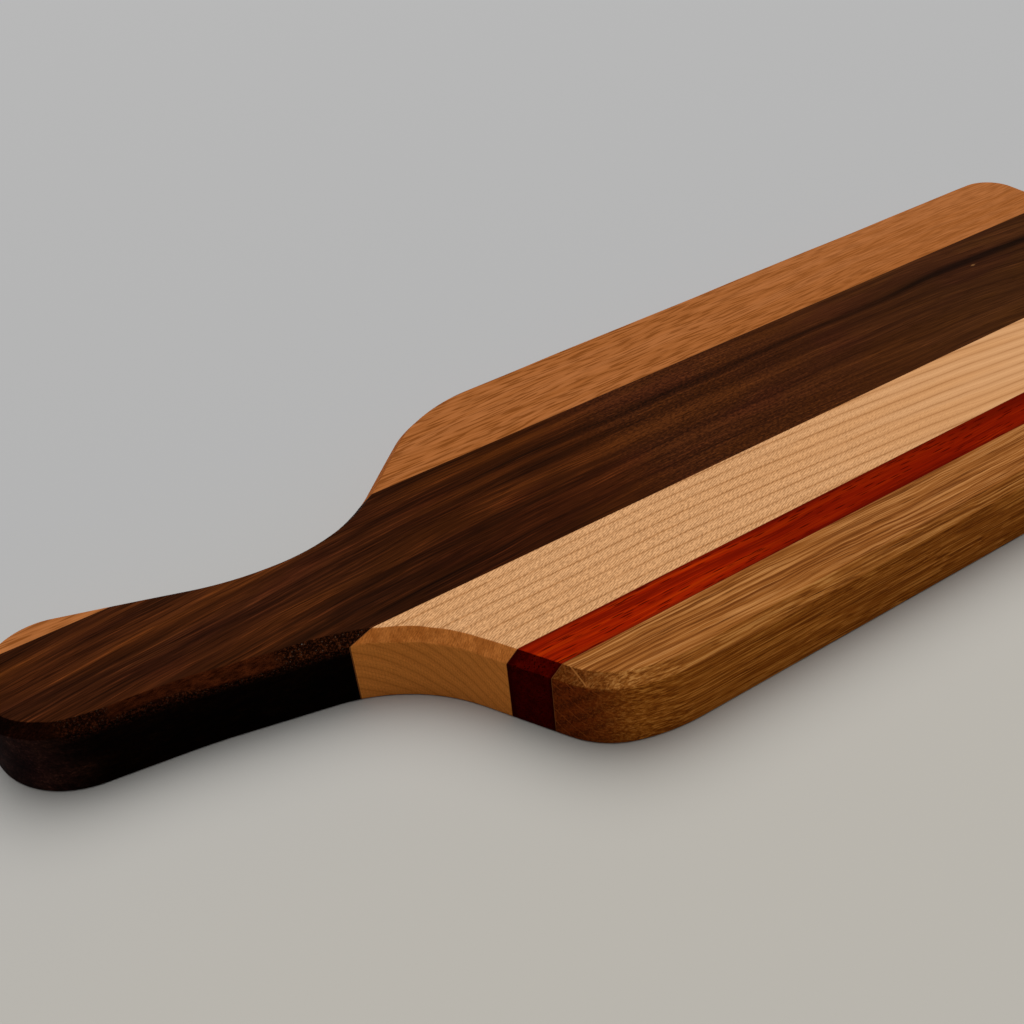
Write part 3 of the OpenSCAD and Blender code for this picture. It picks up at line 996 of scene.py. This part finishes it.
class BOARD_OT_stage(bpy.types.Operator):
    """Sets the camera, the floor, the backdrop and the lamp"""

    bl_idname = "board.stage"
    bl_label = "Stage"

    # The camera, from the photograph's vanishing points: its place in metres, and the
    # directions of the picture's right, down and forward
    SENSOR_WIDTH = 36
    FOCAL_LENGTH = 45.28
    NEAREST = 0.01
    CAMERA_PLACE = (-0.19152, -0.24278, 0.24172)
    RIGHT = (0.8424047, -0.5321567, -0.0846380)
    DOWN = (-0.3857791, -0.4859591, -0.7842310)
    FORWARD = (0.3762031, 0.6932914, -0.6146692)
    # The lamp, a wide disk high up behind the board, and the light from all round
    LAMP_SIZE = 9.0
    LAMP_POWER = 523
    LAMP_PLACE = (1.3, 2.0, 6.0)
    ROUND_LIGHT = 0.16
    FLOOR_REACH = 12.0

    def execute(self, context):
        colours = context.scene.board_colours
        lens = bpy.data.cameras.new("Camera")
        lens.sensor_width = self.SENSOR_WIDTH
        lens.lens = self.FOCAL_LENGTH
        lens.clip_start = self.NEAREST
        camera = bpy.data.objects.new("Camera", lens)
        context.scene.collection.objects.link(camera)
        aim(camera, self.CAMERA_PLACE, self.RIGHT, self.DOWN, self.FORWARD)
        context.scene.camera = camera

        lamp_data = bpy.data.lights.new("Soft lamp", "AREA")
        lamp_data.shape = "DISK"
        lamp_data.size = self.LAMP_SIZE
        lamp_data.energy = self.LAMP_POWER
        lamp = bpy.data.objects.new("Soft lamp", lamp_data)
        context.scene.collection.objects.link(lamp)
        place = Vector(self.LAMP_PLACE)
        lamp.location = place
        lamp.rotation_euler = (-place).to_track_quat("-Z", "Y").to_euler()

        world = bpy.data.worlds.new("Studio")
        context.scene.world = world
        world.use_nodes = True
        tree = world.node_tree
        light = tree.nodes["Background"]
        light.inputs["Color"].default_value = (1, 1, 1, 1)
        light.inputs["Strength"].default_value = self.ROUND_LIGHT
        backdrop = tree.nodes.new("ShaderNodeBackground")
        backdrop.inputs["Color"].default_value = colour4(colours.floor)
        path = tree.nodes.new("ShaderNodeLightPath")
        seen = tree.nodes.new("ShaderNodeMixShader")
        tree.links.new(path.outputs["Is Camera Ray"], seen.inputs[0])
        tree.links.new(light.outputs[0], seen.inputs[1])
        tree.links.new(backdrop.outputs[0], seen.inputs[2])
        tree.links.new(seen.outputs[0], tree.nodes["World Output"].inputs["Surface"])
        context.scene.view_settings.view_transform = "Standard"

        mesh = bpy.data.meshes.new("Floor")
        reach = self.FLOOR_REACH
        corners = [(-reach, -reach, 0), (reach, -reach, 0), (reach, reach, 0), (-reach, reach, 0)]
        mesh.from_pydata(corners, [], [(0, 1, 2, 3)])
        floor = bpy.data.objects.new("Floor", mesh)
        context.scene.collection.objects.link(floor)
        g = Nodes("Plain floor")
        x, y, z = g.coordinates()
        paint = g.noise(g.vector(g.times(x, 0.002), g.times(y, 0.002), z), 1.0, 2.0)
        colour = g.mix(g.times(paint, 0.04), colours.floor, scaled(colours.floor, 0.9))
        # Painted warm light over the floor, warmer towards its front
        painted_warm_light = g.step(g.add(g.times(x, -0.1), g.times(y, -1.0)), -120.0, 130.0)
        colour = g.tint(painted_warm_light, colour, (1.08, 1.03, 0.93))
        mesh.materials.append(g.finish(colour, g.add(0.8, g.times(paint, 0.05))))
        return {"FINISHED"}


class BOARD_PT_panel(bpy.types.Panel):
    """Sizes, colours and steps of the board"""

    bl_idname = "BOARD_PT_panel"
    bl_label = "Serving Board"
    bl_space_type = "VIEW_3D"
    bl_region_type = "UI"
    bl_category = "Board"

    def draw(self, context):
        for title, group in zip(("Sizes", "Colours"), sizes_and_colours(context)):
            box = self.layout.box()
            box.label(text=title)
            for name in group.__annotations__:
                box.prop(group, name)
        for step in STEPS:
            self.layout.operator(step.bl_idname)


STEPS = (
    BOARD_OT_beech,
    BOARD_OT_walnut,
    BOARD_OT_maple,
    BOARD_OT_padauk,
    BOARD_OT_oak,
    BOARD_OT_glue,
    BOARD_OT_stage,
)
CLASSES = (BoardSizes, BoardColours, *STEPS, BOARD_PT_panel)


def register():
    """Registers the classes and hangs the two property groups on the scene."""
    for each in CLASSES:
        bpy.utils.register_class(each)
    bpy.types.Scene.board_sizes = bpy.props.PointerProperty(type=BoardSizes)
    bpy.types.Scene.board_colours = bpy.props.PointerProperty(type=BoardColours)


def unregister():
    """Takes everything back that register did."""
    del bpy.types.Scene.board_colours
    del bpy.types.Scene.board_sizes
    for each in reversed(CLASSES):
        bpy.utils.unregister_class(each)


def main():
    """Builds the board and its stage."""
    register()
    bpy.ops.board.beech()
    bpy.ops.board.walnut()
    bpy.ops.board.maple()
    bpy.ops.board.padauk()
    bpy.ops.board.oak()
    bpy.ops.board.glue()
    bpy.ops.board.stage()


if __name__ == "__main__":
    main()
